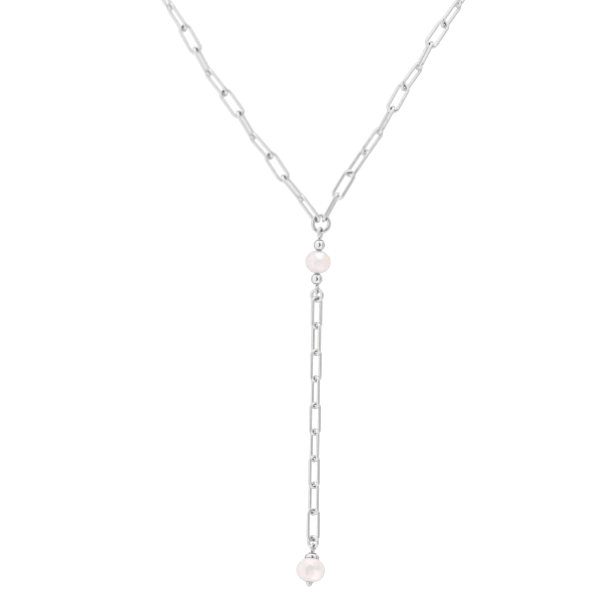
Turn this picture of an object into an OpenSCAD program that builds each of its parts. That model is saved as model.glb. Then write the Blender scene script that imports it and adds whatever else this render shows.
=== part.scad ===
// Lariat necklace in silver and freshwater pearl, in millimetres, in the form it hangs in when worn.
// The origin is the middle of the clasp, where the loop rests on the nape. Up is +Z, the front faces -Y,
// and +X is to the right as a viewer in front sees it. Two sides of paper-clip chain come down from the
// clasp round the neck and meet in a V at a ring. From the ring hangs a pearl between two silver beads,
// then nine more links, then a larger capped pearl. Every link passes through the next one and keeps a
// little play at the joint.

/* [Chain] */
// Thickness of the link wire
link_wire = 0.9; // [0.8:0.02:0.9]
// Width of a link over its two long sides
link_width = 3.7; // [3.7:0.05:4]
// Chain length that each link adds
link_pitch = 7.24; // [7.2:0.01:7.28]
// Play between two linked wires at a joint
play = 0.32; // [0.3:0.02:0.36]
// Links on each side, from the V ring to the clasp
side_links = 30; // [28:2:32]

/* [Rings] */
// Thickness of the V ring's wire
v_ring_wire = 1.05; // [1:0.05:1.1]
// Outer diameter of the V ring
v_ring_od = 5.5; // [5.4:0.1:6]
// Thickness of a jump ring's wire
ring_wire = 0.9; // [0.8:0.05:0.9]
// Outer diameter of a jump ring
ring_od = 4; // [3.9:0.1:4.4]
// Thickness of the pins that carry the pearls and beads
pin_wire = 0.75; // [0.6:0.05:0.8]
// Outer diameter of the eye that hooks into the V ring
top_eye_od = 3.6; // [3.4:0.1:3.7]
// Outer diameter of the other eyes
eye_od = 2.8; // [2.8:0.1:3.1]

/* [Beads and pearls] */
// Widest diameter of the upper pearl
station_pearl_d = 7; // [6:0.1:7.5]
// Height of the upper pearl along its pin
station_pearl_h = 6.3; // [6:0.1:6.6]
// Diameter of a silver bead
bead_d = 3.2; // [3:0.1:3.4]
// Height of a silver bead between its flat rims
bead_h = 2.9; // [2.7:0.1:3]
// Widest diameter of the bottom pearl
drop_pearl_d = 8; // [7:0.1:8.5]
// Height of the bottom pearl along its pin
drop_pearl_h = 7; // [6.5:0.1:7.2]
// Diameter of the holes drilled through beads, pearls and cap
drill_d = 1; // [0.95:0.05:1.2]
// Diameter of the ball that ends the bottom pin
ball_d = 1.75; // [1.6:0.05:1.9]
// How far the middle of that ball lies below the pearl, in its round seat
ball_proud = 0.25; // [0.2:0.05:0.5]
// Diameter of the bead cap's top
cap_top_d = 2.3; // [2:0.1:2.4]
// Diameter of the bead cap's rim
cap_d = 4.2; // [3.8:0.1:4.4]

/* [Hang] */
// How far in front of the nape the V ring hangs
ring_forward = 105; // [100:1:110]
// How far below the nape the V ring hangs
ring_drop = 115; // [112:1:118]
// How far the V ring's hanging part leans off upright
station_lean = 4.4; // [2:0.2:6]
// How far the links below the upper pearl lean off upright
tail_lean = 0.9; // [0:0.1:3]
// How far the bottom pearl leans off upright
drop_lean = 6; // [4:0.5:9]
// How far the foot of the bottom pearl swings out towards the front
drop_swing = 13; // [0:1:16]

/* [Clasp] */
// Thickness of the clasp's wire
clasp_wire = 1.5; // [1.4:0.1:1.6]
// Length of the clasp's loop over its ends
clasp_l = 9; // [8.5:0.5:10]
// Width of the clasp's loop
clasp_w = 5; // [4.8:0.1:5.2]
// Outer diameter of the rings beside the clasp
clasp_ring_od = 5; // [5:0.1:5.5]

/* [Hidden] */
$fn = 48;

// The part of the V that lies in front, from the ring upward, in degrees: lean is how far a link leans
// outward off upright, and turn is how far its flat side is turned out of the frontal plane.
LEAN = 0;
TURN = 1;
left_front = [
    [36.5, -57], [39.5, 66], [33.5, 6], [41, -54], [30.5, 67], [35.5, 6],
    [38, -53], [28.5, 67], [29, 6], [33, -56], [31, 62]
];
right_front = [
    [28.5, 80], [31, 14], [34, -48], [35, 48], [29, -72], [29, -12],
    [36, 48], [27, -72], [34, -10], [35.5, 52], [32, -68]
];
// The turn of each link below the upper pearl, from the top down.
tail_turn = [38, -52, 33, -55, 31, -52, 35, -44, 8];
// How far each side of the V slopes back at its first link, and how much more at each link after it.
left_back = [6, 1];
right_back = [10.5, 1];
// How far the two upper jump-ring planes are turned out of the frontal plane.
tail_ring_turn = -24;
drop_ring_turn = -40;
// How far the V ring is turned out of the frontal plane.
v_ring_turn = 10;
// How far the eyes of the two pins are turned out of the frontal plane.
top_eye_turn = 72;
lower_eye_turn = 74;
drop_eye_turn = 66;
// Where the two sides of the V meet the ring, measured off the ring's top.
left_meet = 43;
right_meet = 36;

// The lower eye of the station's pin is bent a little to the right of the pin.
lower_eye_shift = 0.3;

// Small fits: between stacked pieces, round the wire in an eye, and where a link's end lies in the V ring.
seat_gap = 0.04;
swing_gap = 0.2;
ring_play = 0.2;
flat_over = 2;

// Basic vector work.
function unit(v) = v / norm(v);
// A direction that leans out by lean and slopes back by back; side is -1 to the left and 1 to the right.
function leaning(side, lean, back) = [side * sin(lean) * cos(back), sin(back), cos(lean) * cos(back)];
// The flat side of a link along a, turned out of the plane square to inward.
function facing(a, inward, turn) =
    let (u = unit(cross(inward, a)))
    cos(turn) * u + sin(turn) * cross(a, u);
// The matrix that carries local x to side, z to a and the origin to p.
function placed(p, side, a) =
    let (n = cross(a, side))
    [[side.x, n.x, a.x, p.x], [side.y, n.y, a.y, p.y], [side.z, n.z, a.z, p.z], [0, 0, 0, 1]];

// Joint points: each lies midway between the two wires that meet there.
function walk(p, dirs, i = 0) =
    i == len(dirs) ? [p] : concat([p], walk(p + link_pitch * dirs[i], dirs, i + 1));
function front_dirs(side, rows, back) =
    [for (i = [0:len(rows) - 1]) leaning(side, rows[i][LEAN], back[0] + back[1] * i)];

v_ring_at = [0, -ring_forward, -ring_drop];
v_ring_r = (v_ring_od - v_ring_wire) / 2;
ring_r = (ring_od - ring_wire) / 2;
// Distance from the V ring's centre to a joint on it.
v_joint_r = v_ring_r - (v_ring_wire + link_wire) / 2 - ring_play + (link_wire + play) / 2;
function meet_point(side, angle) =
    let (out = side * sin(angle))
    v_ring_at + v_joint_r * [out * cos(v_ring_turn), out * sin(v_ring_turn), cos(angle)];

left_visible = walk(meet_point(-1, left_meet), front_dirs(-1, left_front, left_back));
right_visible = walk(meet_point(1, right_meet), front_dirs(1, right_front, right_back));

// Clasp train along the nape: joint, ring, joint, clasp, joint, ring, joint.
clasp_eye_r = 1.5;
clasp_eye_wire = 1;
ring_span = clasp_ring_od - 2 * ring_wire - play;
clasp_r = (clasp_w - clasp_wire) / 2;
clasp_straight = clasp_l - clasp_w;
clasp_eye_x = -clasp_straight / 2 - clasp_r - clasp_eye_r;
clasp_left_joint = clasp_eye_x - clasp_eye_r + clasp_eye_wire / 2 + play / 2;
clasp_right_joint = clasp_straight / 2 + clasp_r - clasp_wire / 2 - play / 2;
left_end = [clasp_left_joint - ring_span, 0, 0];
right_end = [clasp_right_joint + ring_span, 0, 0];

// How steeply the two sides fall away from the clasp.
nape_dip = 8;
// The hidden part of each side follows one smooth curve from the top of the V round the neck to the
// clasp. Its two handles are as long as it takes for whole links to reach the clasp.
function curve(c, t) =
    pow(1 - t, 3) * c[0] + 3 * pow(1 - t, 2) * t * c[1] + 3 * (1 - t) * t * t * c[2] + pow(t, 3) * c[3];
function handles(p, dir, end, side, h) =
    [p, p + h * dir, end + h * [side * cos(nape_dip), 0, -sin(nape_dip)], end];
// The curve's parameter one link further on, by halving.
function onward(c, p, lo, hi, n = 26) =
    n == 0 ? lo : let (mid = (lo + hi) / 2)
    norm(curve(c, mid) - p) < link_pitch ? onward(c, p, mid, hi, n - 1) : onward(c, p, lo, mid, n - 1);
// Steps of one link along the curve; past its end the last parameter stays at the limit.
far_t = 1.4;
step_t = 0.12;
function steps(c, n, t = 0) =
    n == 0 ? [t] : concat([t], steps(c, n - 1, onward(c, curve(c, t), t, min(t + step_t, far_t))));
function reach(c, n) = let (ts = steps(c, n)) ts[n];
function fit_handle(p, dir, end, side, n, lo, hi, k = 22) =
    k == 0 ? lo : let (mid = (lo + hi) / 2)
    reach(handles(p, dir, end, side, mid), n) > 1
        ? fit_handle(p, dir, end, side, n, mid, hi, k - 1)
        : fit_handle(p, dir, end, side, n, lo, mid, k - 1);
handle_least = 20;
handle_most = 90;
function hidden_joints(visible, rows, end, side) =
    let (
        count = side_links - len(rows),
        last = len(visible) - 1,
        p = visible[last],
        dir = unit(p - visible[last - 1]),
        h = fit_handle(p, dir, end, side, count, handle_least, handle_most),
        c = handles(p, dir, end, side, h),
        ts = steps(c, count)
    )
    [for (i = [1:count]) curve(c, ts[i])];

left_joints = concat(left_visible, hidden_joints(left_visible, left_front, left_end, -1));
right_joints = concat(right_visible, hidden_joints(right_visible, right_front, right_end, 1));

// The way in towards the neck for each link: straight back along the V, then turning with the loop.
function inward(side, rows, i) =
    i < len(rows) ? [0, 1, 0] :
    let (a = 180 * (i - len(rows) + 0.5) / (side_links - len(rows)))
    [-side * sin(a), cos(a), 0];
function link_turn(rows, i) = i < len(rows) ? rows[i][TURN] : 90 * ((i - len(rows)) % 2);

// Rings, eyes and links, each drawn flat in its own XZ plane with its length along Z.
module ring(od, wire) {
    rotate([90, 0, 0]) rotate_extrude() translate([(od - wire) / 2, 0]) circle(d = wire);
}
module link(wire, width, length) {
    r = (width - wire) / 2;
    straight = length - width;
    for (end = [0, 1]) mirror([0, 0, end]) translate([0, 0, straight / 2])
        rotate([90, 0, 0]) rotate_extrude(angle = 180) translate([r, 0]) circle(d = wire);
    for (side = [-1, 1]) translate([side * r, 0, 0]) cylinder(d = wire, h = straight, center = true);
}
module chain_link() {
    link(link_wire, link_width, link_pitch + 2 * link_wire + play);
}
module chain_side(joints, rows, side) {
    for (i = [0:side_links - 1]) {
        a = unit(joints[i + 1] - joints[i]);
        flat = facing(a, inward(side, rows, i), link_turn(rows, i));
        multmatrix(placed((joints[i] + joints[i + 1]) / 2, flat, a)) chain_link();
    }
}

// The part that hangs from the V ring. Its joints are worked out from the top down.
down_station = [-sin(station_lean), 0, -cos(station_lean)];
top_eye_r = (top_eye_od - pin_wire) / 2;
eye_r = (eye_od - pin_wire) / 2;
// Along the pin from the V ring's centre: the top eye, the stack of beads and the lower eye.
top_eye_z = v_ring_r - (v_ring_wire + pin_wire) / 2 - swing_gap + top_eye_r;
stack_top = top_eye_z + top_eye_r + pin_wire / 2 + seat_gap;
bead_upper_z = stack_top + bead_h / 2;
station_pearl_z = stack_top + bead_h + seat_gap + station_pearl_h / 2;
bead_lower_z = stack_top + 1.5 * bead_h + 2 * seat_gap + station_pearl_h;
lower_eye_z = stack_top + 2 * bead_h + 3 * seat_gap + station_pearl_h + pin_wire / 2 + eye_r;
lower_eye_at = v_ring_at + lower_eye_z * down_station
    + lower_eye_shift * [cos(station_lean), 0, -sin(station_lean)];
// The upper jump ring hangs upright from the lower eye.
down_tail = [-sin(tail_lean), 0, -cos(tail_lean)];
tail_ring_at = lower_eye_at + (eye_r - (pin_wire + ring_wire) / 2 - swing_gap + ring_r) * down_tail;
ring_joint_r = ring_r - (ring_wire + link_wire) / 2 - ring_play + (link_wire + play) / 2;
first_tail_joint = tail_ring_at + ring_joint_r * down_tail;
tail_joints = walk(first_tail_joint, [for (i = tail_turn) down_tail]);
drop_ring_at = tail_joints[len(tail_turn)] + ring_joint_r * down_tail;

// The bottom pearl hangs from the lowest point of its ring, which is the axis that it swings about.
swing_at = drop_ring_at + ring_r * down_tail;
down_drop = [-sin(drop_lean) * cos(drop_swing), -sin(drop_swing), -cos(drop_lean) * cos(drop_swing)];
drop_eye_z = eye_r - (ring_wire + pin_wire) / 2 - swing_gap;
cap_z = drop_eye_z + eye_r + pin_wire / 2 + seat_gap;
// The cap sits down over the pearl's top.
cap_h = 1.75;
cap_rim_h = 0.7;
cap_collar_h = 0.35;
cap_flare = 0.1;
cap_dome_steps = 8;
pearl_top_z = cap_z + 1.25;
drop_pearl_z = pearl_top_z + drop_pearl_h / 2;
ball_z = pearl_top_z + drop_pearl_h + ball_proud;

// A place on a pin that hangs from p along down, with local z pointing up the pin.
module hung(p, down, z, turn) {
    multmatrix(placed(p + z * down, facing(-down, [0, 1, 0], turn), -down)) children();
}
// A pin from z = top to z = bottom below p.
module stem(p, down, top, bottom) {
    hung(p, down, bottom, 0) cylinder(d = pin_wire, h = bottom - top);
}
module drilled_pearl(d, h) {
    difference() {
        scale([1, 1, h / d]) sphere(d = d);
        cylinder(d = drill_d, h = h + flat_over, center = true);
    }
}
module drilled_bead() {
    difference() {
        intersection() {
            sphere(d = bead_d);
            cylinder(d = bead_d + flat_over, h = bead_h, center = true);
        }
        cylinder(d = drill_d, h = bead_h + flat_over, center = true);
    }
}

module neck_chain_left() {
    color("silver") chain_side(left_joints, left_front, -1);
}
module neck_chain_right() {
    color("silver") chain_side(right_joints, right_front, 1);
}
module y_ring() {
    color("silver") translate(v_ring_at) rotate([0, 0, v_ring_turn]) ring(v_ring_od, v_ring_wire);
}
module station_pin() {
    color("silver") {
        hung(v_ring_at, down_station, top_eye_z, top_eye_turn) ring(top_eye_od, pin_wire);
        stem(v_ring_at, down_station, top_eye_z + top_eye_r, lower_eye_z - eye_r);
        hung(lower_eye_at, down_station, 0, lower_eye_turn) ring(eye_od, pin_wire);
    }
}
module station_bead_upper() {
    color("silver") hung(v_ring_at, down_station, bead_upper_z, 0) drilled_bead();
}
module station_pearl() {
    color("seashell") hung(v_ring_at, down_station, station_pearl_z, 0)
        drilled_pearl(station_pearl_d, station_pearl_h);
}
module station_bead_lower() {
    color("silver") hung(v_ring_at, down_station, bead_lower_z, 0) drilled_bead();
}
module tail_ring_upper() {
    color("silver") hung(tail_ring_at, down_tail, 0, tail_ring_turn) ring(ring_od, ring_wire);
}
module tail_link(i) {
    color("silver")
        multmatrix(placed((tail_joints[i] + tail_joints[i + 1]) / 2,
                          facing(-down_tail, [0, 1, 0], tail_turn[i]), -down_tail))
            chain_link();
}
module tail_ring_lower() {
    color("silver") hung(drop_ring_at, down_tail, 0, drop_ring_turn) ring(ring_od, ring_wire);
}
module drop_pin() {
    color("silver") {
        hung(swing_at, down_drop, drop_eye_z, drop_eye_turn) ring(eye_od, pin_wire);
        stem(swing_at, down_drop, drop_eye_z + eye_r, ball_z);
        hung(swing_at, down_drop, ball_z, 0) sphere(d = ball_d);
    }
}
// A low dome with a round collar, hollowed to the pearl's own curve.
module drop_cap() {
    hollow = 1 + 2 * seat_gap / drop_pearl_h;
    neck_r = cap_top_d / 2 + cap_flare;
    neck_z = cap_h - cap_collar_h;
    dome = [
        for (i = [0:cap_dome_steps]) let (a = 90 * i / cap_dome_steps)
        [neck_r + (cap_d / 2 - neck_r) * cos(a), cap_rim_h + (neck_z - cap_rim_h) * sin(a)]
    ];
    color("silver") difference() {
        hung(swing_at, down_drop, cap_z + cap_h, 0) rotate_extrude() polygon(concat(
            [[drill_d / 2, 0], [cap_d / 2, 0]], dome,
            [[cap_top_d / 2, neck_z], [cap_top_d / 2, cap_h], [drill_d / 2, cap_h]]
        ));
        hung(swing_at, down_drop, drop_pearl_z, 0) scale([1, 1, drop_pearl_h / drop_pearl_d])
            sphere(d = drop_pearl_d * hollow);
    }
}
module drop_pearl() {
    color("seashell") hung(swing_at, down_drop, drop_pearl_z, 0) difference() {
        drilled_pearl(drop_pearl_d, drop_pearl_h);
        translate([0, 0, drop_pearl_z - ball_z]) sphere(d = ball_d + 2 * seat_gap);
    }
}
// One closed loop with a small eye, flat against the nape.
module clasp() {
    color("silver") {
        multmatrix(placed([0, 0, 0], [0, 0, 1], [1, 0, 0])) link(clasp_wire, clasp_w, clasp_l);
        translate([clasp_eye_x, 0, 0]) ring(2 * clasp_eye_r + clasp_eye_wire, clasp_eye_wire);
    }
}
// The rings beside the clasp lie level, square to it and to the last links.
module clasp_ring(x) {
    color("silver") translate([x, 0, 0]) rotate([90, 0, 0]) ring(clasp_ring_od, ring_wire);
}
module clasp_ring_left() {
    clasp_ring(clasp_left_joint - ring_span / 2);
}
module clasp_ring_right() {
    clasp_ring(clasp_right_joint + ring_span / 2);
}

neck_chain_left();
neck_chain_right();
y_ring();
station_pin();
station_bead_upper();
station_pearl();
station_bead_lower();
tail_ring_upper();
tail_link(0);  // tail_link_1
tail_link(1);  // tail_link_2
tail_link(2);  // tail_link_3
tail_link(3);  // tail_link_4
tail_link(4);  // tail_link_5
tail_link(5);  // tail_link_6
tail_link(6);  // tail_link_7
tail_link(7);  // tail_link_8
tail_link(8);  // tail_link_9
tail_ring_lower();
drop_pin();
drop_cap();
drop_pearl();
clasp();
clasp_ring_left();
clasp_ring_right();
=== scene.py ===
import math

import bpy
import numpy as np
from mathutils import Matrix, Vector


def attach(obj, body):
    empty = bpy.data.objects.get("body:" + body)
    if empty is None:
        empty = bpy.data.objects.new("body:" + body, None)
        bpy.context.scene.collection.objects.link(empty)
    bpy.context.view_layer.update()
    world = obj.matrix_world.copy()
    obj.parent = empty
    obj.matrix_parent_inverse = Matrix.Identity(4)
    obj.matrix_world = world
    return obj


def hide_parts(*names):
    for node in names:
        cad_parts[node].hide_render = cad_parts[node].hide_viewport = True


# Looks of a silver lariat necklace with two pearls. Lengths are in metres unless a name ends in _MM.
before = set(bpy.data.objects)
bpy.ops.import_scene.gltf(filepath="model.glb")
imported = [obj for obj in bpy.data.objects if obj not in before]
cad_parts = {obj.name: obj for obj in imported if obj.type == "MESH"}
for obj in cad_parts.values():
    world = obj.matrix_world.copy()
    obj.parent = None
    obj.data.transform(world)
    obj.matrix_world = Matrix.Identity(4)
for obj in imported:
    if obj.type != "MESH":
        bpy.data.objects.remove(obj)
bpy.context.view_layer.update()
MM = 0.001

# Real sizes that the frame's meshes don't give directly, in millimetres.
WIRE_MM = 0.97
RING_WIRE_MM = 0.94
V_RING_WIRE_MM = 1.12
PIN_WIRE_MM = 0.76
TOP_EYE_MM = 3.6
EYE_MM = 2.8
DRILL_MM = 1.0
BALL_MM = 1.75
BALL_PROUD_MM = 0.25
SEAT_GAP_MM = 0.04

# How finely the meshes are drawn: sides or steps of each curve.
WIRE_SIDES = 24
BEND_STEPS = 22
RING_STEPS = 96
KINK_STEPS = 14
LATHE_STEPS = 96
BEAD_STEPS = 48
PEARL_STEPS = 64
LIP_STEPS = 5
CUP_STEPS = 10
CAP_STEPS = 60
CAP_HOLLOW_STEPS = 24
BALL_STEPS = 33
SHAFT_STEPS = 12

# Vertices closer than this are one, and a radius below ON_AXIS_M lies on the axis.
MERGE_MM = 0.0005
ON_AXIS_M = 1e-9

# The photograph's frame: pixels per millimetre at the V ring, and where the ring's centre lies in it.
FRAME_PX = 600
PX_PER_MM = 3.67
V_RING_PX = (321.0, 223.7)
# The camera's distance, sensor and far end of view, and the floor's height, width and paint.
CAMERA_DISTANCE = 2.0
SENSOR_MM = 36.0
VIEW_END = 100.0
FLOOR_Z = -0.275
FLOOR_SIZE = 40.0
FLOOR_COLOUR = (0.96, 0.96, 0.96, 1.0)
FLOOR_ROUGH = 0.9


# Measuring the frame's meshes

def mesh_arrays(obj):
    """Vertices and triangles of a mesh, with vertices at the same place merged."""
    mesh = obj.data
    mesh.calc_loop_triangles()
    points = np.array([v.co for v in mesh.vertices], float)
    triangles = np.array([t.vertices for t in mesh.loop_triangles], int)
    grid = np.round(points / (MERGE_MM * MM))
    _, first, merged = np.unique(grid, axis=0, return_index=True, return_inverse=True)
    return points[first], merged.reshape(-1)[triangles]


def islands(points, triangles):
    """The separate solids of a mesh, each as its points and triangles."""
    label = np.arange(len(points))
    while True:
        lowest = label[triangles].min(axis=1)
        before = label.copy()
        for corner in range(3):
            np.minimum.at(label, triangles[:, corner], lowest)
        label = label[label]
        if (label == before).all():
            break
    groups = label[triangles[:, 0]]
    return [(points, triangles[groups == g]) for g in np.unique(groups)]


class Placed:
    """A solid's centre, its three axes from the longest to the shortest, and its size along them."""

    def __init__(self, points, triangles):
        corners = points[triangles]
        first, second = corners[:, 1] - corners[:, 0], corners[:, 2] - corners[:, 0]
        areas = np.linalg.norm(np.cross(first, second), axis=1)
        middles = corners.mean(axis=1)
        centre = (middles * areas[:, None]).sum(axis=0) / areas.sum()
        spread = ((middles - centre) * areas[:, None]).T @ (middles - centre)
        axes = np.linalg.eigh(spread)[1].T[::-1]
        used = points[np.unique(triangles)] @ axes.T
        low, high = used.min(axis=0), used.max(axis=0)
        self.size = high - low
        self.centre = ((low + high) / 2) @ axes
        self.axes = axes


def node_points(node):
    """The vertices of a node of the frame."""
    return mesh_arrays(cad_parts[node])[0]


def placed_solids(node):
    """Each solid of a node as its centre, axes and size."""
    return [Placed(*solid) for solid in islands(*mesh_arrays(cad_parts[node]))]


def centre_of(node):
    return placed_solids(node)[0].centre


def unit(v):
    return np.asarray(v, float) / np.linalg.norm(v)


def upright(placement, toward):
    """The longest and second axes of a placement, with the longest turned toward a direction."""
    long_axis, side = placement.axes[0], placement.axes[1]
    return (long_axis if long_axis @ toward > 0 else -long_axis), side


def local_frame(centre, side, up):
    """Rows that carry local x, y, z to the row frame, with x along side and z along up."""
    up = unit(up)
    side = unit(np.asarray(side, float) - (np.asarray(side, float) @ up) * up)
    return np.array([side, np.cross(up, side), up]), np.asarray(centre, float)


def to_world(points, place):
    """Local points, carried to the row frame by a local frame."""
    axes, centre = place
    return np.asarray(points, float) @ axes + centre


# Building meshes

# A path that turns less than this in its first third is straight, and its cross-section starts from a spare
# direction.
STRAIGHT = 1e-3
SPARE_DIRECTION = (0.3, 0.5, 0.8)


def sweep(path, radii, closed):
    """A round tube along a path, whose cross-section is carried along without twist.

    An open path gets a face at each end.
    """
    path = np.asarray(path, float)
    count = len(path)
    if closed:
        tangents = np.roll(path, -1, axis=0) - np.roll(path, 1, axis=0)
    else:
        tangents = np.gradient(path, axis=0)
    tangents /= np.linalg.norm(tangents, axis=1)[:, None]
    # The first normal is square to the plane in which the path turns, where it turns at all.
    start = np.cross(tangents[0], tangents[count // 3])
    if np.linalg.norm(start) < STRAIGHT:
        start = np.cross(tangents[0], SPARE_DIRECTION)
    normal = unit(start)
    rings = []
    turns = 2 * math.pi * np.arange(WIRE_SIDES) / WIRE_SIDES
    for point, tangent, radius in zip(path, tangents, radii):
        normal = unit(normal - (normal @ tangent) * tangent)
        binormal = np.cross(tangent, normal)
        rings.append(point + radius * (np.cos(turns)[:, None] * normal + np.sin(turns)[:, None] * binormal))
    verts = np.concatenate(rings)
    spans = count if closed else count - 1
    faces = []
    for i in range(spans):
        a, b = i * WIRE_SIDES, (i + 1) % count * WIRE_SIDES
        for k in range(WIRE_SIDES):
            n = (k + 1) % WIRE_SIDES
            faces.append((a + k, a + n, b + n, b + k))
    if not closed:
        faces.append(tuple(range(WIRE_SIDES))[::-1])
        faces.append(tuple(range((count - 1) * WIRE_SIDES, count * WIRE_SIDES)))
    return verts, faces


def lathe(profile, closed):
    """A profile of (radius, height) turned about local z.

    A closed profile makes a ring, and an open one ends on the axis.
    """
    profile = np.asarray(profile, float)
    turns = 2 * math.pi * np.arange(LATHE_STEPS) / LATHE_STEPS
    verts, rows = [], []
    for radius, height in profile:
        if radius < ON_AXIS_M:
            rows.append([len(verts)] * LATHE_STEPS)
            verts.append((0.0, 0.0, height))
            continue
        rows.append(list(range(len(verts), len(verts) + LATHE_STEPS)))
        verts.extend((radius * math.cos(t), radius * math.sin(t), height) for t in turns)
    faces = []
    for i in range(len(rows) if closed else len(rows) - 1):
        low, high = rows[i], rows[(i + 1) % len(rows)]
        for k in range(LATHE_STEPS):
            n = (k + 1) % LATHE_STEPS
            corners = [low[k], low[n], high[n], high[k]]
            faces.append(tuple(dict.fromkeys(corners)))
    return np.array(verts), faces


def joined(parts):
    """Several meshes as one."""
    verts, faces, start = [], [], 0
    for part_verts, part_faces in parts:
        verts.append(part_verts)
        faces.extend(tuple(start + i for i in face) for face in part_faces)
        start += len(part_verts)
    return np.concatenate(verts), faces


def outward(verts, faces):
    """The same faces, turned so that the solid's volume is positive."""
    volume = 0.0
    for face in faces:
        a = verts[face[0]]
        for b, c in zip(face[1:-1], face[2:]):
            volume += a @ np.cross(verts[b], verts[c])
    return faces if volume > 0 else [face[::-1] for face in faces]


def piece(name, verts, faces, material, body, slot, node, painted_shade=None):
    """One visible piece that rides a body and replaces a node. Painted shade says how dark each vertex is
    painted where shade falls.
    """
    mesh = bpy.data.meshes.new(name)
    mesh.from_pydata([tuple(v) for v in verts], [], outward(verts, faces))
    mesh.update()
    if painted_shade is not None:
        mesh.attributes.new("painted_shade", "FLOAT", "POINT").data.foreach_set("value", np.asarray(painted_shade, float))
    mesh.shade_smooth()
    mesh.materials.append(material)
    obj = bpy.data.objects.new(name, mesh)
    bpy.context.scene.collection.objects.link(obj)
    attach(obj, body)
    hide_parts(node)


# Wires: links, rings and pins

def arc(centre, radius, start, end, steps):
    """Points on a circle in the local XZ plane, angles in degrees, the last point left out."""
    angles = np.radians(np.linspace(start, end, steps, endpoint=False))
    zero = np.zeros_like(angles)
    return np.stack([centre[0] + radius * np.cos(angles), zero, centre[1] + radius * np.sin(angles)], axis=1)


def line(start, end, shares):
    """Points in the local XZ plane at the given shares of the way from start to end."""
    start, end = np.array([start[0], 0, start[1]]), np.array([end[0], 0, end[1]])
    return np.array([start + share * (end - start) for share in shares])


# Along a link's soldered side: shares of its length, and how much thicker the wire is there.
SEAM_SHARES = (0, 0.15, 0.3, 0.42, 0.45, 0.475, 0.49, 0.5, 0.51, 0.525, 0.55, 0.58, 0.7, 0.85)
SEAM_BULGE = (0, 0, 0, 0, 0.006, 0.02, 0.026, 0.03, 0.026, 0.02, 0.006, 0, 0, 0)
# Stations of its plain side, and how much thinner the wire is in the middle of a bend.
PLAIN_SHARES = (0, 0.2, 0.4, 0.6, 0.8)
BEND_FLATTEN = 0.035


def link_wire(width, length, wire):
    """A paper-clip link: two bends, one plain side and one side with its soldered seam."""
    r = (width - wire) / 2
    half = (length - width) / 2
    bend = 1 - BEND_FLATTEN * np.sin(np.pi * np.linspace(0, 1, BEND_STEPS, endpoint=False))
    path = np.concatenate([
        arc((0, half), r, 0, 180, BEND_STEPS),
        line((-r, half), (-r, -half), PLAIN_SHARES),
        arc((0, -half), r, 180, 360, BEND_STEPS),
        line((r, -half), (r, half), SEAM_SHARES),
    ])
    scale = np.concatenate([bend, np.ones(len(PLAIN_SHARES)), bend, 1 + np.array(SEAM_BULGE)])
    return path, scale * wire / 2


# Painted shade at a joint, standing in for the shadow and dark reflections between wires that cross: how far
# it reaches from where two wires meet, in a link and in the V ring, and its peak, which is held at 1.
SHADE_REACH_MM = 0.56
V_RING_SHADE_MM = 0.8
SHADE_PEAK = 1.2


def joint_painted_shade(verts, spots, reach=SHADE_REACH_MM):
    """How strongly each point is painted with shade near a joint, from 0 to 1. Wires meet at the spots."""
    off = np.linalg.norm(verts[:, None] - np.asarray(spots, float)[None], axis=2).min(axis=1)
    return np.minimum(1, SHADE_PEAK * np.exp(-(off / (reach * MM)) ** 2))


def link_piece(name, node, flip=1):
    """All links of a node, rebuilt where the frame has them.

    Their seams lie on one side and the other by turns. The first one's side follows from flip, odd or even.
    """
    parts, painted_shade = [], []
    for k, solid in enumerate(placed_solids(node)):
        up, side = upright(solid, (0, 0, 1))
        place = local_frame(solid.centre, side if (k + flip) % 2 else -side, up)
        grow = WIRE_MM * MM - solid.size[2]
        length = solid.size[0] + grow
        path, radii = link_wire(solid.size[1] + grow, length, WIRE_MM * MM)
        verts, faces = sweep(path, radii, closed=True)
        # Painted shade at both bends, where the next links cross.
        contact = length / 2 - WIRE_MM * MM
        painted_shade.append(joint_painted_shade(verts, [(0, 0, contact), (0, 0, -contact)]))
        parts.append((to_world(verts, place), faces))
    piece(name, *joined(parts), SILVER, NECKLACE, "silver", node, painted_shade=np.concatenate(painted_shade))


# The cut of a jump ring: degrees to either side of it, and how much thinner the wire is there. The ring's
# other stations stay CUT_REACH degrees off it.
CUT_ANGLES = (-2.4, -1.2, -0.5, 0, 0.5, 1.2, 2.4)
CUT_DIPS = (0, -0.01, -0.05, -0.09, -0.05, -0.01, 0)
CUT_REACH = 3
# A ring whose plane is nearly level is turned by the row's +Y and not by its +Z.
LEVEL = 0.1


def ring_wire(outer, wire, cut_at=None):
    """A round ring. A jump ring has a fine cut, where its two ends meet."""
    r = (outer - wire) / 2
    angles = np.linspace(0, 360, RING_STEPS, endpoint=False)
    scale = np.ones(RING_STEPS)
    if cut_at is not None:
        keep = abs((angles - cut_at + 180) % 360 - 180) > CUT_REACH
        angles = np.concatenate([angles[keep], cut_at + np.array(CUT_ANGLES)])
        scale = np.concatenate([scale[keep], 1 + np.array(CUT_DIPS)])
        order = np.argsort(angles % 360)
        angles, scale = angles[order], scale[order]
    turns = np.radians(angles)
    path = np.stack([r * np.cos(turns), np.zeros_like(turns), r * np.sin(turns)], axis=1)
    return path, scale * wire / 2


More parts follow.
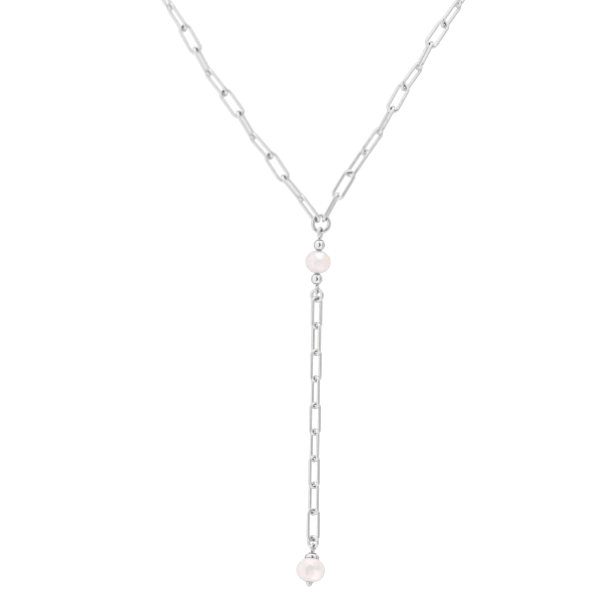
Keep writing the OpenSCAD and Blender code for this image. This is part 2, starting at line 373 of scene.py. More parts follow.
def ring_piece(name, node, wire_mm, cut_at=None, shaded_at=(90, 270), reach=SHADE_REACH_MM):
    """A ring rebuilt where the frame has it.

    Angles of the cut and of the places painted with shade are counted from the ring's right, upward.
    """
    solid = placed_solids(node)[0]
    normal = solid.axes[2]
    up = np.array([0.0, 0, 1]) - normal[2] * normal
    if np.linalg.norm(up) < LEVEL:
        up = np.array([0.0, 1, 0]) - normal[1] * normal
    up = unit(up)
    side = np.cross(normal, up)
    side = side if side[0] > 0 else -side
    grow = wire_mm * MM - solid.size[2]
    outer = solid.size[0] + grow
    path, radii = ring_wire(outer, wire_mm * MM, cut_at)
    verts, faces = sweep(path, radii, closed=True)
    inner = outer / 2 - wire_mm * MM
    turns = np.radians(shaded_at)
    spots = np.stack([inner * np.cos(turns), 0 * turns, inner * np.sin(turns)], axis=1)
    painted_shade = joint_painted_shade(verts, spots, reach)
    verts = to_world(verts, local_frame(solid.centre, side, up))
    piece(name, verts, faces, SILVER, NECKLACE, "silver", node, painted_shade=painted_shade)


# An eye's wire starts EYE_GAP degrees past the stem and leaves the circle EYE_LEAVE degrees before it. Its
# kink ends EYE_DROP wires below the circle. It follows the circle for KINK_PULL wires, and the stem for
# KINK_END_PULL times as far.
EYE_GAP = 14
EYE_LEAVE = 38
EYE_DROP = 0.75
KINK_PULL = 0.45
KINK_END_PULL = 1.1


def eye_path(outer, wire):
    """A pin's eye in its own plane, from its cut end round to the stem below, which lies on local z."""
    r = (outer - wire) / 2
    loop = arc((0, 0), r, -90 + EYE_GAP, 270 - EYE_LEAVE, RING_STEPS * 3 // 4)
    leave = math.radians(270 - EYE_LEAVE)
    start = np.array([r * math.cos(leave), 0, r * math.sin(leave)])
    heading = np.array([-math.sin(leave), 0, math.cos(leave)])
    end = np.array([0, 0, -r - EYE_DROP * wire])
    reach = KINK_PULL * wire
    t = np.linspace(0, 1, KINK_STEPS)[:, None]
    kink = ((1 - t) ** 3 * start + 3 * (1 - t) ** 2 * t * (start + reach * heading)
            + 3 * (1 - t) * t ** 2 * (end + [0, 0, KINK_END_PULL * reach]) + t ** 3 * end)
    return np.concatenate([loop, kink])


# A trimmed end: how many stations it takes, and the share of the wire's section that its face has.
END_STATIONS = 4
END_SHARE = 0.55


def cut_end(radii):
    """Rounds the first stations of a wire, as a trimmed and filed end."""
    radii = np.array(radii, float)
    radii[:END_STATIONS] *= np.sqrt(np.linspace(END_SHARE, 1, END_STATIONS))
    return radii


# Pins are measured along the axis of the beads or the pearl that they run through. The points within this
# share of an eye's height give its place.
EYE_SHARE = 0.9


def eye_place(points, axis, at_top, outer):
    """Centre of the eye at one end of a pin, and a direction square to the axis in the eye's plane."""
    along = points @ axis
    if at_top:
        found = points[along > along.max() - EYE_SHARE * outer]
        height = along.max() - outer / 2
    else:
        found = points[along < along.min() + EYE_SHARE * outer]
        height = along.min() + outer / 2
    flat = found - np.outer(found @ axis, axis)
    middle = (flat.min(axis=0) + flat.max(axis=0)) / 2
    side = np.linalg.eigh((flat - middle).T @ (flat - middle))[1][:, -1]
    middle = middle - (middle @ axis) * axis
    reach = (flat - middle) @ side
    centre = middle + side * (reach.max() + reach.min()) / 2 + height * axis
    return centre, side


def eye_contact(centre, outer, away):
    """Where the other wire rests in an eye, on the side away from the stem."""
    return centre + (outer / 2 - PIN_WIRE_MM * MM) * away


def stem(start, end, steps):
    """Stations from start to end of a straight wire, the first left out."""
    return np.linspace(start, end, steps)[1:]


# Beads, pearls and cap

# A bead: how much wider it is than its solid, the rounded lip of its bore, the soft edge of its flat rim,
# how dark the painted shade at the rim and bore is, and how far down that reaches.
BEAD_GROW_MM = 0.01
BEAD_LIP_MM = 0.07
BEAD_EDGE_MM = 0.05
BEAD_SHADE = 0.9
BEAD_SHADE_MM = 0.26
# A pearl: how much taller it is than its solid, and the rounded lip of its bore.
PEARL_GROW_MM = 0.06
PEARL_LIP_MM = 0.08
# How much of the lip's height a pearl's round seat starts above its rim.
CUP_START = 0.3
# A pearl's unevenness starts at this distance from its bore's axis, and is full over this much more.
LOBES_FROM_MM = 0.9
LOBES_FADE_MM = 0.6


def round_lip(hole, lip):
    """Radius and offset in height of a quarter-round edge between a bore and the face above it."""
    turns = np.linspace(0, math.pi / 2, LIP_STEPS)
    return [(hole + lip * (1 - math.cos(t)), -lip * (1 - math.sin(t))) for t in turns]


def drilled_profile(width, height, hole, lip, cup):
    """A drilled round body about local z, from the top of the bore over the outside and back up the bore.

    A cup is a round seat in the bottom: its ball's radius, and how far the ball's middle is below the body.
    """
    def outline(share):
        return width / 2 * math.sin(math.pi * share), height / 2 * math.cos(math.pi * share)

    def share_at(radius):
        return math.asin(2 * radius / width) / math.pi

    rim = hole if cup is None else math.sqrt(cup[0] ** 2 - cup[1] ** 2)
    first, last = share_at(hole + lip), 1 - share_at(rim + lip)
    top_z, bottom_z = outline(first)[1], outline(last)[1]
    profile = [(r, top_z + dz) for r, dz in round_lip(hole, lip)]
    profile += [outline(s) for s in np.linspace(first, last, PEARL_STEPS)[1:]]
    if cup is None:
        return profile + [(r, bottom_z - dz) for r, dz in round_lip(hole, lip)][::-1][1:]
    middle = -height / 2 - cup[1]
    start = math.acos((bottom_z + CUP_START * lip - middle) / cup[0])
    turns = np.linspace(start, math.asin(hole / cup[0]), CUP_STEPS)
    return profile + [(cup[0] * math.sin(t), middle + cup[0] * math.cos(t)) for t in turns]


def bead_piece(name, node, axis):
    """A round silver bead with flat rims and a softened bore."""
    solid = placed_solids(node)[0]
    points = node_points(node)
    height = np.ptp(points @ axis)
    width = solid.size.max() + BEAD_GROW_MM * MM
    hole, lip = DRILL_MM * MM / 2, BEAD_LIP_MM * MM
    rim_r = math.sqrt(max(width ** 2 - height ** 2, 0)) / 2
    edge = BEAD_EDGE_MM * MM
    rim_turn = math.asin(2 * (rim_r + edge) / width)
    turns = np.linspace(rim_turn, math.pi - rim_turn, BEAD_STEPS)
    outside = [(width / 2 * math.sin(t), width / 2 * math.cos(t)) for t in turns]
    top = [(r, height / 2 + dz) for r, dz in round_lip(hole, lip)] + [(rim_r - edge, height / 2)]
    bottom = [(r, -z) for r, z in top][::-1]
    profile = np.array(top + outside + bottom)
    verts, faces = lathe(profile, closed=True)
    # Painted shade: darker toward the flat rims and the bore, where shade falls.
    painted_shade = BEAD_SHADE * np.exp(-((height / 2 - abs(profile[:, 1])) / (BEAD_SHADE_MM * MM)) ** 2)
    verts = to_world(verts, local_frame(solid.centre, (1, 0, 0), axis))
    piece(name, verts, faces, BEAD_SILVER, NECKLACE, "silver", node, painted_shade=np.repeat(painted_shade, LATHE_STEPS))


def pearl_piece(name, node, axis, material, body, lobes, cup=None):
    """A drilled pearl with its slight unevenness.

    A lobe is a direction, a width in degrees and a height as a share of the radius.
    """
    solid = placed_solids(node)[0]
    points = node_points(node)
    along = points @ axis
    height, width = np.ptp(along), solid.size.max()
    centre = solid.centre + ((along.max() + along.min()) / 2 - solid.centre @ axis) * axis
    profile = drilled_profile(width, height + PEARL_GROW_MM * MM, DRILL_MM * MM / 2, PEARL_LIP_MM * MM, cup)
    verts, faces = lathe(profile, closed=True)
    heading = verts / np.linalg.norm(verts, axis=1)[:, None]
    from_axis = np.hypot(verts[:, 0], verts[:, 1])
    outer = np.clip((from_axis - LOBES_FROM_MM * MM) / (LOBES_FADE_MM * MM), 0, 1)
    change = np.zeros(len(verts))
    for direction, spread, rise in lobes:
        angle = np.degrees(np.arccos(np.clip(heading @ unit(direction), -1, 1)))
        change += rise * np.exp(-(angle / spread) ** 2)
    verts = verts * (1 + (change * outer)[:, None])
    verts = to_world(verts, local_frame(centre, (1, 0, 0), axis))
    piece(name, verts, faces, material, body, "pearl", node)


# The cap: a low dome with a collar. The radii are those of its widest place, its foot, its neck and its
# collar. The heights over its foot are those of its rim, its belly, its neck and its top.
CAP_HALF_MM = 2.1
CAP_FOOT_MM = 2.0
CAP_NECK_R_MM = 1.25
CAP_COLLAR_MM = 1.15
CAP_RIM_MM = 0.12
CAP_BELLY_MM = 0.5
CAP_NECK_MM = 1.4
CAP_H_MM = 1.75
# The cap sits this far down over the pearl's top, and its hollow leaves this much room over and beside it.
CAP_SINK_MM = 0.5
CAP_ROOM_MM = 0.04
CAP_SIDE_ROOM_MM = 0.045
# The fine turned groove: height, half width, depth and the darkness of the shade painted in it.
GROOVE_AT_MM = 0.62
GROOVE_HALF_MM = 0.045
GROOVE_DEPTH_MM = 0.015
GROOVE_SHADE = 0.55
# The bore's radius, and the rim: how far it stands over the hollow's edge, and how dark the shade painted on
# it is.
CAP_BORE_MM = DRILL_MM / 2
CAP_RIM_RISE_MM = 0.03
CAP_RIM_SHADE = 0.6
# The collar, from the neck up and in to the bore, as radius, height and the darkness of the shade painted on
# it.
CAP_COLLAR_ROWS = (
    (CAP_COLLAR_MM + 0.02, CAP_NECK_MM + 0.01, 0.9),
    (CAP_COLLAR_MM - 0.04, CAP_NECK_MM + 0.05, 0.8),
    (CAP_COLLAR_MM, CAP_NECK_MM + 0.11, 0.6),
    (CAP_COLLAR_MM, CAP_H_MM - 0.07, 0.55),
    (CAP_COLLAR_MM - 0.03, CAP_H_MM - 0.015, 0.5),
    (CAP_COLLAR_MM - 0.08, CAP_H_MM, 0.6),
    (CAP_BORE_MM + 0.07, CAP_H_MM, 0.6),
    (CAP_BORE_MM, CAP_H_MM - 0.07, 0.8),
)


def cap_outside():
    """The dome from the rim over its belly to the neck with its groove, as radius, height and the darkness
    of its painted shade.
    """
    heights = np.linspace(CAP_RIM_MM, CAP_NECK_MM, CAP_STEPS)
    lift = np.clip((heights - CAP_BELLY_MM) / (CAP_NECK_MM - CAP_BELLY_MM), 0, 1)
    drop = np.clip((CAP_BELLY_MM - heights) / CAP_BELLY_MM, 0, 1)
    radii = CAP_NECK_R_MM + (CAP_HALF_MM - CAP_NECK_R_MM) * np.sqrt(1 - lift ** 2)
    radii -= (CAP_HALF_MM - CAP_FOOT_MM) * drop ** 2
    groove = np.exp(-((heights - GROOVE_AT_MM) / GROOVE_HALF_MM) ** 2)
    return list(zip(radii - GROOVE_DEPTH_MM * groove, heights, GROOVE_SHADE * groove))


def cap_piece():
    """The cap, hollowed to the pearl's curve."""
    points = node_points("drop_cap")
    pearl = node_points("drop_pearl")
    pearl_at = centre_of("drop_pearl")
    foot = pearl_at + (((points - pearl_at) @ drop_up).max() - CAP_H_MM * MM) * drop_up
    wide = placed_solids("drop_pearl")[0].size.max() / 2 / MM + CAP_SIDE_ROOM_MM
    tall = np.ptp(pearl @ drop_up) / 2 / MM + CAP_ROOM_MM
    top = CAP_SINK_MM + SEAT_GAP_MM
    inner = [(r, tall * math.sqrt(1 - (r / wide) ** 2) - tall + top, 0.0)
             for r in np.linspace(CAP_BORE_MM, CAP_FOOT_MM - CAP_ROOM_MM, CAP_HOLLOW_STEPS)]
    rim = [(CAP_FOOT_MM, inner[-1][1] + CAP_RIM_RISE_MM, CAP_RIM_SHADE)]
    profile = np.array(inner + rim + cap_outside() + list(CAP_COLLAR_ROWS))
    verts, faces = lathe(profile[:, :2] * MM, closed=True)
    painted_shade = np.repeat(profile[:, 2], LATHE_STEPS)
    verts = to_world(verts, local_frame(foot, (1, 0, 0), drop_up))
    piece("drop_cap_dome", verts, faces, SILVER, DROP, "silver", "drop_cap", painted_shade=painted_shade)


# Materials

def node_tree(block):
    block.use_nodes = True
    block.node_tree.nodes.clear()
    return block.node_tree


def add(tree, kind, links=None, **values):
    """A shader node. Values set its own settings, and links maps input names to sockets or constants."""
    made = tree.nodes.new(kind)
    for key, value in values.items():
        setattr(made, key, value)
    for key, value in (links or {}).items():
        target = made.inputs[key]
        if isinstance(value, bpy.types.NodeSocket):
            tree.links.new(value, target)
        else:
            target.default_value = value
    return made


def principled(name, links):
    """A material whose shader gets the inputs that links gives for its tree."""
    material = bpy.data.materials.new(name)
    tree = node_tree(material)
    shader = add(tree, "ShaderNodeBsdfPrincipled", links(tree))
    add(tree, "ShaderNodeOutputMaterial", {"Surface": shader.outputs[0]})
    return material


def noise(tree, vector, scale, detail, roughness):
    return add(tree, "ShaderNodeTexNoise", {
        "Vector": vector, "Scale": scale, "Detail": detail, "Roughness": roughness,
    }).outputs["Fac"]


def remap(tree, value, low, high, to_low=0.0, to_high=1.0):
    """A smooth step of a value between low and high."""
    return add(tree, "ShaderNodeMapRange", {
        "Value": value, "From Min": low, "From Max": high, "To Min": to_low, "To Max": to_high,
    }, interpolation_type="SMOOTHSTEP").outputs["Result"]


def mix_colour(tree, factor, a, b):
    return add(tree, "ShaderNodeMix", {0: factor, 6: a, 7: b}, data_type="RGBA").outputs[2]


def maths(tree, operation, *values):
    return add(tree, "ShaderNodeMath", dict(enumerate(values)), operation=operation).outputs[0]


def vector_maths(tree, operation, *values):
    return add(tree, "ShaderNodeVectorMath", dict(enumerate(values)), operation=operation).outputs[0]


def bump(tree, height, strength, depth_mm):
    return add(tree, "ShaderNodeBump", {
        "Height": height, "Strength": strength, "Distance": depth_mm * MM,
    }).outputs[0]


# Silver: its colour, also tarnished and darkened by painted shade, and how strongly tarnish and painted
# shade show at their fullest.
SILVER_COLOUR = (0.93, 0.93, 0.93, 1.0)
TARNISH_COLOUR = (0.93 * 0.84, 0.93 * 0.83, 0.93 * 0.8, 1.0)
PAINTED_SHADE_COLOUR = (0.07, 0.07, 0.075, 1.0)
TARNISH_SHARE = 0.2
PAINTED_SHADE_SHARE = 0.92
# Its noises as scale per metre, detail and roughness, and the values where each begins and is full.
CLOUD_NOISE = (900.0, 3.0, 0.55)
CLOUD_RANGE = (0.3, 0.75)
TARNISH_NOISE = (260.0, 2.0, 0.55)
TARNISH_RANGE = (0.5, 0.78)
PAINTED_SHADE_RANGE = (0.22, 0.8)
SCRATCH_NOISE = (5200.0, 5.0, 0.7)
LINE_NOISE = (9000.0, 2.0, 0.6)
LINE_STRETCH = (1.0, 1.0, 0.12)
CLOUD_ROUGH = 0.06
SCRATCH_MM = 0.004


def silver(name, rough, scratch):
    """Polished sterling silver: faint clouding, fine scratches, a breath of tarnish and painted shade at
    joints, rims and grooves.

    It is smoothest at a roughness of rough, and scratch is the strength of its scratches.
    """
    def links(tree):
        place = add(tree, "ShaderNodeTexCoord").outputs["Object"]
        cloud = noise(tree, place, *CLOUD_NOISE)
        fine = noise(tree, place, *SCRATCH_NOISE)
        stretched = add(tree, "ShaderNodeMapping", {"Vector": place, "Scale": LINE_STRETCH}).outputs[0]
        lines = noise(tree, stretched, *LINE_NOISE)
        tarnish = remap(tree, noise(tree, place, *TARNISH_NOISE), *TARNISH_RANGE, 0.0, TARNISH_SHARE)
        # Painted shade: the mesh's shade attribute turns the silver near black where wires cross, at bead
        # rims and in the cap's groove and collar, standing in for the shadow and dark reflections there.
        shaded = add(tree, "ShaderNodeAttribute", attribute_name="painted_shade").outputs["Fac"]
        shaded = remap(tree, shaded, *PAINTED_SHADE_RANGE, 0.0, PAINTED_SHADE_SHARE)
        colour = mix_colour(tree, tarnish, SILVER_COLOUR, TARNISH_COLOUR)
        return {
            "Base Color": mix_colour(tree, shaded, colour, PAINTED_SHADE_COLOUR),
            "Metallic": 1.0,
            "Roughness": remap(tree, cloud, *CLOUD_RANGE, rough, rough + CLOUD_ROUGH),
            "Normal": bump(tree, maths(tree, "ADD", fine, lines), scratch, SCRATCH_MM),
        }
    return principled(name, links)


def patch(tree, heading, direction, inner, outer):
    """A soft round patch on a pearl: 1 within inner degrees of a direction from its centre, 0 past outer."""
    toward = add(tree, "ShaderNodeVectorMath", {0: heading, 1: unit(direction)}, operation="DOT_PRODUCT")
    return remap(tree, toward.outputs["Value"], math.cos(math.radians(outer)), math.cos(math.radians(inner)))


# Nacre: its mottling and how strongly that shows, and how far the patches' outlines wander.
MOTTLE_COLOUR = (0.80, 0.76, 0.75, 1.0)
MOTTLE_SHARE = 0.35
WARP_REACH = 0.35
# Its noises on a ball of radius 1 as scale, detail and roughness, and where each begins and is full.
WARP_SCALE = 1.6
MOTTLE_NOISE = (5.0, 4.0, 0.55)
MOTTLE_RANGE = (0.35, 0.7)
PIT_NOISE = (26.0, 4.0, 0.6)
PIT_RANGE = (0.3, 0.7)
GROWTH_SCALE = 7.0
# Its roughness where it is smoothest and dullest, its relief of pits and growth lines, and its skin's depth.
NACRE_ROUGH = (0.24, 0.36)
NACRE_DEPTH_MM = 0.02
NACRE_BUMP = 0.25
SKIN_MM = 0.5


def nacre(name, centre, body_colour, patches):
    """Freshwater nacre: patches of overtone colour and of painted highlight and shade on a body colour,
    faint growth lines, a scattering skin and a coat.

    A patch is a colour, a direction, its inner and outer degrees and its strength.
    """
    def links(tree):
        place = add(tree, "ShaderNodeTexCoord").outputs["Object"]
        heading = vector_maths(tree, "NORMALIZE", vector_maths(tree, "SUBTRACT", place, centre))
        warp = add(tree, "ShaderNodeTexNoise", {
            "Vector": heading, "Scale": WARP_SCALE, "Detail": 2.0,
        }).outputs["Color"]
        centred = vector_maths(tree, "SUBTRACT", warp, (0.5, 0.5, 0.5))
        bent = vector_maths(tree, "MULTIPLY", centred, (WARP_REACH, WARP_REACH, WARP_REACH))
        uneven = vector_maths(tree, "ADD", heading, bent)
        colour = body_colour
        # Overtone colour, painted highlights and painted shade, each in a soft patch.
        for patch_colour, direction, inner, outer, strength in patches:
            share = maths(tree, "MULTIPLY", patch(tree, uneven, direction, inner, outer), strength)
            colour = mix_colour(tree, share, colour, patch_colour)
        mottle = remap(tree, noise(tree, heading, *MOTTLE_NOISE), *MOTTLE_RANGE, 0.0, MOTTLE_SHARE)
        colour = mix_colour(tree, mottle, colour, MOTTLE_COLOUR)
        pits = noise(tree, heading, *PIT_NOISE)
        growth = add(tree, "ShaderNodeTexWave", {
            "Vector": heading, "Scale": GROWTH_SCALE, "Distortion": 5.0, "Detail": 3.0,
        }, bands_direction="Z").outputs["Fac"]
        height = maths(tree, "MULTIPLY", pits, growth)
        return {
            "Base Color": colour,
            "Roughness": remap(tree, pits, *PIT_RANGE, *NACRE_ROUGH),
            "Specular IOR Level": 0.5,
            "IOR": 1.53,
            "Subsurface Weight": 0.25,
            "Subsurface Radius": (1.0, 0.8, 0.75),
            "Subsurface Scale": SKIN_MM * MM,
            "Coat Weight": 0.6,
            "Coat Roughness": 0.12,
            "Coat IOR": 1.45,
            "Normal": bump(tree, height, NACRE_BUMP, NACRE_DEPTH_MM),
        }
    return principled(name, links)


SILVER = silver("silver_wire", rough=0.15, scratch=0.35)
BEAD_SILVER = silver("silver_bead", rough=0.035, scratch=0.15)
SATIN_SILVER = silver("silver_ball", rough=0.32, scratch=0.15)

# The chain, its rings and the clasp

NECKLACE, DROP = "necklace", "pearl_drop"
TAIL_LINKS = 9
# Where the V ring is painted with shade by the wires that cross it, and where each jump ring is cut, in
# degrees from its right, upward.
V_RING_SHADED_AT = (54, 133, 265)
JUMP_RING_CUTS = {
    "tail_ring_upper": 62,
    "tail_ring_lower": 150,
    "clasp_ring_left": 70,
    "clasp_ring_right": 110,
}
link_piece("neck_chain_left_links", "neck_chain_left")
link_piece("neck_chain_right_links", "neck_chain_right")
for number in range(1, TAIL_LINKS + 1):
    link_piece(f"tail_link_{number}_wire", f"tail_link_{number}", flip=number)
ring_piece("y_ring_soldered", "y_ring", V_RING_WIRE_MM, shaded_at=V_RING_SHADED_AT, reach=V_RING_SHADE_MM)
for ring, cut_at in JUMP_RING_CUTS.items():
    ring_piece(f"{ring}_jump", ring, RING_WIRE_MM, cut_at=cut_at)

# The station: a pin with two eyes through two beads and a pearl

station_up = unit(centre_of("station_bead_upper") - centre_of("station_bead_lower"))
station_points = node_points("station_pin")
pin_wire = PIN_WIRE_MM * MM
# The pin bends aside this many wires over its lower eye.
LOW_BEND = 0.9
LOW_BEND_STEPS = 4
# The pearl's body colour, the patches on it and its lobes. The patches are overtone colour on the sides and
# back, a painted highlight at the top and lower right, and painted shade in the grey middle that faces the
# front.
STATION_COLOUR = (0.745, 0.69, 0.675, 1.0)
STATION_TINTS_AND_PAINTED_LIGHT = [
    ((0.775, 0.675, 0.705, 1.0), (-0.6, -0.78, 0.1), 12, 40, 0.9),
    ((0.74, 0.655, 0.61, 1.0), (0.7, -0.68, 0.05), 12, 40, 0.8),
    ((0.66, 0.635, 0.65, 1.0), (-0.02, -1.0, -0.02), 5, 22, 0.85),
    ((0.9, 0.87, 0.9, 1.0), (0.1, -0.75, 0.6), 6, 30, 0.95),
    ((0.84, 0.735, 0.735, 1.0), (0.3, -0.75, -0.55), 5, 28, 0.8),
    ((0.82, 0.74, 0.77, 1.0), (0.3, 0.9, 0.2), 20, 60, 0.7),
]
STATION_LOBES = [
    ((-0.8, -0.4, 0.3), 55, 0.008),
    ((0.5, -0.7, -0.4), 45, -0.010),
    ((0.2, 0.9, 0.3), 60, 0.009),
]


def station_pin():
    """One wire: the upper eye, the shaft through the beads and the pearl, a small bend and the lower eye."""
    top_eye, top_side = eye_place(station_points, station_up, True, TOP_EYE_MM * MM)
    low_eye, low_side = eye_place(station_points, station_up, False, EYE_MM * MM)
    low_side = low_side if low_side @ top_side > 0 else -low_side
    upper = to_world(eye_path(TOP_EYE_MM * MM, pin_wire), local_frame(top_eye, top_side, station_up))
    lower = to_world(eye_path(EYE_MM * MM, pin_wire), local_frame(low_eye, low_side, -station_up))
    axis_point = centre_of("station_bead_upper")
    on_axis = axis_point + ((lower[-1] - axis_point) @ station_up) * station_up
    low_turn = on_axis + LOW_BEND * pin_wire * station_up
    shaft = stem(upper[-1], low_turn, SHAFT_STEPS)
    bend = stem(low_turn, lower[-1], LOW_BEND_STEPS)[:-1]
    path = np.concatenate([upper, shaft, bend, lower[::-1]])
    radii = cut_end(cut_end(np.full(len(path), pin_wire / 2))[::-1])[::-1]
    verts, faces = sweep(path, radii, closed=False)
    # Painted shade where the other wire rests in each eye.
    painted_shade = joint_painted_shade(verts, [eye_contact(top_eye, TOP_EYE_MM * MM, station_up),
                              eye_contact(low_eye, EYE_MM * MM, -station_up)])
    piece("station_pin_wire", verts, faces, SILVER, NECKLACE, "silver", "station_pin", painted_shade=painted_shade)


station_pin()
bead_piece("station_bead_upper_round", "station_bead_upper", station_up)
bead_piece("station_bead_lower_round", "station_bead_lower", station_up)
STATION_NACRE = nacre("nacre_station", tuple(centre_of("station_pearl")), STATION_COLOUR, STATION_TINTS_AND_PAINTED_LIGHT)
pearl_piece("station_pearl_nacre", "station_pearl", station_up, STATION_NACRE, NECKLACE, STATION_LOBES)

# The drop: a ball-headed pin, a domed cap and the larger pearl

drop_up = unit(centre_of("drop_cap") - centre_of("drop_pearl"))
drop_points = node_points("drop_pin")
# The round seat for the ball in the pearl's foot.
BALL_CUP = ((BALL_MM / 2 + SEAT_GAP_MM) * MM, BALL_PROUD_MM * MM)
# The pearl's body colour, the patches on it and its lobes. The patches are a painted highlight at the top
# and lower right, painted shade in the grey band across the front, and overtone colour on the left and back.
DROP_COLOUR = (0.755, 0.70, 0.68, 1.0)
DROP_TINTS_AND_PAINTED_LIGHT = [
    ((0.91, 0.79, 0.775, 1.0), (0.02, -0.75, 0.65), 8, 32, 0.95),
    ((0.93, 0.81, 0.79, 1.0), (0.4, -0.85, -0.38), 12, 34, 0.95),
    ((0.62, 0.595, 0.575, 1.0), (-0.16, -0.97, 0.1), 4, 25, 0.85),
    ((0.66, 0.62, 0.6, 1.0), (0.5, -0.84, 0.3), 4, 22, 0.65),
    ((0.83, 0.75, 0.73, 1.0), (-0.75, -0.6, -0.1), 10, 34, 0.7),
    ((0.82, 0.75, 0.74, 1.0), (-0.2, 0.9, 0.3), 20, 60, 0.7),
]
DROP_LOBES = [
    ((0.3, -0.8, -0.5), 40, 0.008),
    ((-0.3, -0.9, 0.1), 28, -0.008),
    ((0.6, 0.7, 0.2), 50, 0.010),
]


def drop_pin():
    """The wire from its eye down to the ball, and the satin ball at the pearl's foot."""
    eye, side = eye_place(drop_points, drop_up, True, EYE_MM * MM)
    upper = to_world(eye_path(EYE_MM * MM, pin_wire), local_frame(eye, side, drop_up))
    ball = BALL_MM * MM / 2
    ball_z = (drop_points @ drop_up).min() + ball
    axis_point = centre_of("drop_pearl")
    ball_centre = axis_point + (ball_z - axis_point @ drop_up) * drop_up
    shaft = stem(upper[-1], ball_centre, SHAFT_STEPS)
    radii = np.concatenate([cut_end(np.full(len(upper), pin_wire / 2)), np.full(len(shaft), pin_wire / 2)])
    verts, faces = sweep(np.concatenate([upper, shaft]), radii, closed=False)
    # Painted shade where the other wire rests in the eye.
    painted_shade = joint_painted_shade(verts, [eye_contact(eye, EYE_MM * MM, drop_up)])
    piece("drop_pin_wire", verts, faces, SILVER, DROP, "silver", "drop_pin", painted_shade=painted_shade)
    turns = np.linspace(0, math.pi, BALL_STEPS)
    verts, faces = lathe([(ball * math.sin(t), ball * math.cos(t)) for t in turns], closed=False)
    verts = to_world(verts, local_frame(ball_centre, (1, 0, 0), drop_up))
    piece("drop_pin_ball", verts, faces, SATIN_SILVER, DROP, "silver", "drop_pin")


drop_pin()
DROP_NACRE = nacre("nacre_drop", tuple(centre_of("drop_pearl")), DROP_COLOUR, DROP_TINTS_AND_PAINTED_LIGHT)
pearl_piece("drop_pearl_nacre", "drop_pearl", drop_up, DROP_NACRE, DROP, DROP_LOBES, BALL_CUP)
cap_piece()

# The clasp's plain loop keeps its shape and gets the silver.
clasp_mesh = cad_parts["clasp"].data
clasp_mesh.materials.clear()
clasp_mesh.materials.append(SILVER)

# Studio: a pale floor, a bright tent of light and the camera

# Colours of the tent's parts as they light the metal. Angles are in degrees: a turn is counted from the
# camera's side of the object to the right, and a rise from level upward.
TENT_FRONT = (0.9, 0.9, 0.9, 1.0)
TENT_TOP = (1.15, 1.15, 1.15, 1.0)
TENT_WINGS = (0.6, 0.6, 0.6, 1.0)
TENT_BACK = (1.05, 1.05, 1.05, 1.0)
SOFT_BELOW = (0.9, 0.9, 0.9, 1.0)
SOFT_ABOVE = (1.28, 1.28, 1.28, 1.0)
BACKGROUND = (1.02, 1.02, 1.02, 1.0)
# Where the top, the wings and the back of the tent begin and are full, as shares of a direction's Z or Y.
TOP_Z = (0.35, 0.9)
WINGS_Y = (-0.1, 0.35)
BACK_Y = (0.88, 0.98)
# Three patches of the tent: colour, the turn of the middle, half the width, the rise of the middle, how far
# the patch reaches up and down from there, how far its ends lie to the left, and the width of its soft edge.
SIDE_WALL = ((0.38, 0.37, 0.36, 1.0), 76, 15, 0, 50, 0, 8)
FLAG = ((0.78, 0.78, 0.78, 1.0), 10, 40, 48, 26, 0, 12)
DARK_GAP = ((0.02, 0.02, 0.022, 1.0), 12, 15, 0, 50, 46, 3)


def tall_patch(tree, turn, rise, middle, half, height, reach, bend, edge):
    """1 inside an upright patch of the tent and 0 outside, all angles given in degrees."""
    middle, half, height, reach, bend, edge = np.radians([middle, half, height, reach, bend, edge]).tolist()
    above = maths(tree, "SUBTRACT", rise, height)
    share = maths(tree, "POWER", maths(tree, "DIVIDE", above, reach), 2.0)
    line_turn = maths(tree, "MULTIPLY_ADD", share, -bend, middle)
    width = maths(tree, "MULTIPLY_ADD", share, -half, half)
    off = maths(tree, "ABSOLUTE", maths(tree, "SUBTRACT", turn, line_turn))
    return remap(tree, maths(tree, "SUBTRACT", width, off), -edge / 2, edge / 2)


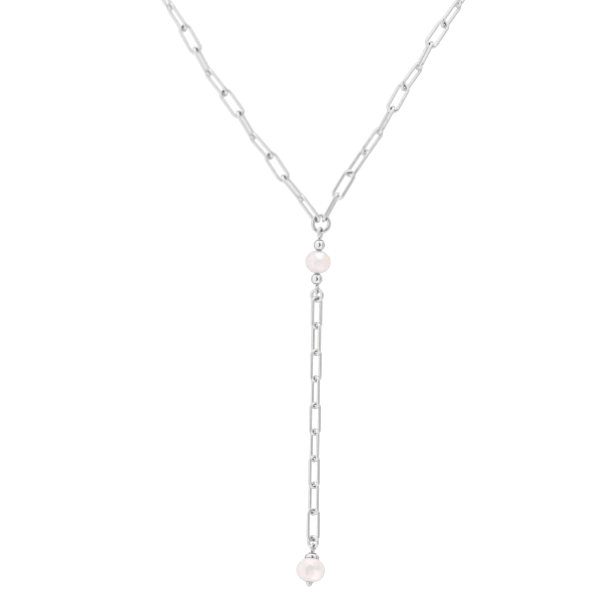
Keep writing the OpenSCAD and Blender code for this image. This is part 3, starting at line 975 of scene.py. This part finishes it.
def studio_world():
    """A bright tent: a dark gap beside the camera, a duller side wall and a grey flag over the camera."""
    world = bpy.data.worlds.new("studio")
    tree = node_tree(world)
    heading = add(tree, "ShaderNodeTexCoord").outputs["Generated"]
    x, y, z = add(tree, "ShaderNodeSeparateXYZ", {0: heading}).outputs
    turn = maths(tree, "ARCTAN2", x, maths(tree, "MULTIPLY", y, -1.0))
    rise = maths(tree, "ARCSINE", z)
    colour = mix_colour(tree, remap(tree, z, *TOP_Z), TENT_FRONT, TENT_TOP)
    colour = mix_colour(tree, remap(tree, y, *WINGS_Y), colour, TENT_WINGS)
    colour = mix_colour(tree, remap(tree, y, *BACK_Y), colour, TENT_BACK)
    for patch_colour, *angles in (SIDE_WALL, FLAG, DARK_GAP):
        colour = mix_colour(tree, tall_patch(tree, turn, rise, *angles), colour, patch_colour)
    rays = add(tree, "ShaderNodeLightPath")
    soft = mix_colour(tree, remap(tree, z, -1.0, 1.0), SOFT_BELOW, SOFT_ABOVE)
    colour = mix_colour(tree, rays.outputs["Is Glossy Ray"], soft, colour)
    colour = mix_colour(tree, rays.outputs["Is Camera Ray"], colour, BACKGROUND)
    background = add(tree, "ShaderNodeBackground", {"Color": colour, "Strength": 1.0})
    add(tree, "ShaderNodeOutputWorld", {"Surface": background.outputs[0]})
    bpy.context.scene.world = world


def studio_floor():
    """A plain pale floor below the drop. The metal mirrors the tent and not the floor."""
    half = FLOOR_SIZE / 2
    corners = [(x * half, y * half, FLOOR_Z) for x, y in ((-1, -1), (1, -1), (1, 1), (-1, 1))]
    mesh = bpy.data.meshes.new("floor")
    mesh.from_pydata(corners, [], [(0, 1, 2, 3)])
    paint = {"Base Color": FLOOR_COLOUR, "Roughness": FLOOR_ROUGH}
    mesh.materials.append(principled("floor_paint", lambda tree: paint))
    floor = bpy.data.objects.new("floor", mesh)
    floor.visible_glossy = False
    bpy.context.scene.collection.objects.link(floor)


def camera():
    """The photograph's view, level from the front, with the V ring where the photograph has it."""
    ring = Vector(centre_of("y_ring"))
    view_mm = FRAME_PX / PX_PER_MM
    data = bpy.data.cameras.new("camera")
    data.sensor_width = SENSOR_MM
    data.lens = SENSOR_MM * CAMERA_DISTANCE / (view_mm * MM)
    data.clip_end = VIEW_END
    obj = bpy.data.objects.new("camera", data)
    obj.location = (
        ring.x + (FRAME_PX / 2 - V_RING_PX[0]) / PX_PER_MM * MM,
        ring.y - CAMERA_DISTANCE,
        ring.z - (FRAME_PX / 2 - V_RING_PX[1]) / PX_PER_MM * MM,
    )
    obj.rotation_euler = (math.radians(90), 0, 0)
    bpy.context.scene.collection.objects.link(obj)
    bpy.context.scene.camera = obj


studio_world()
studio_floor()
camera()
bpy.context.scene.view_settings.view_transform = "Standard"

bpy.context.view_layer.update()
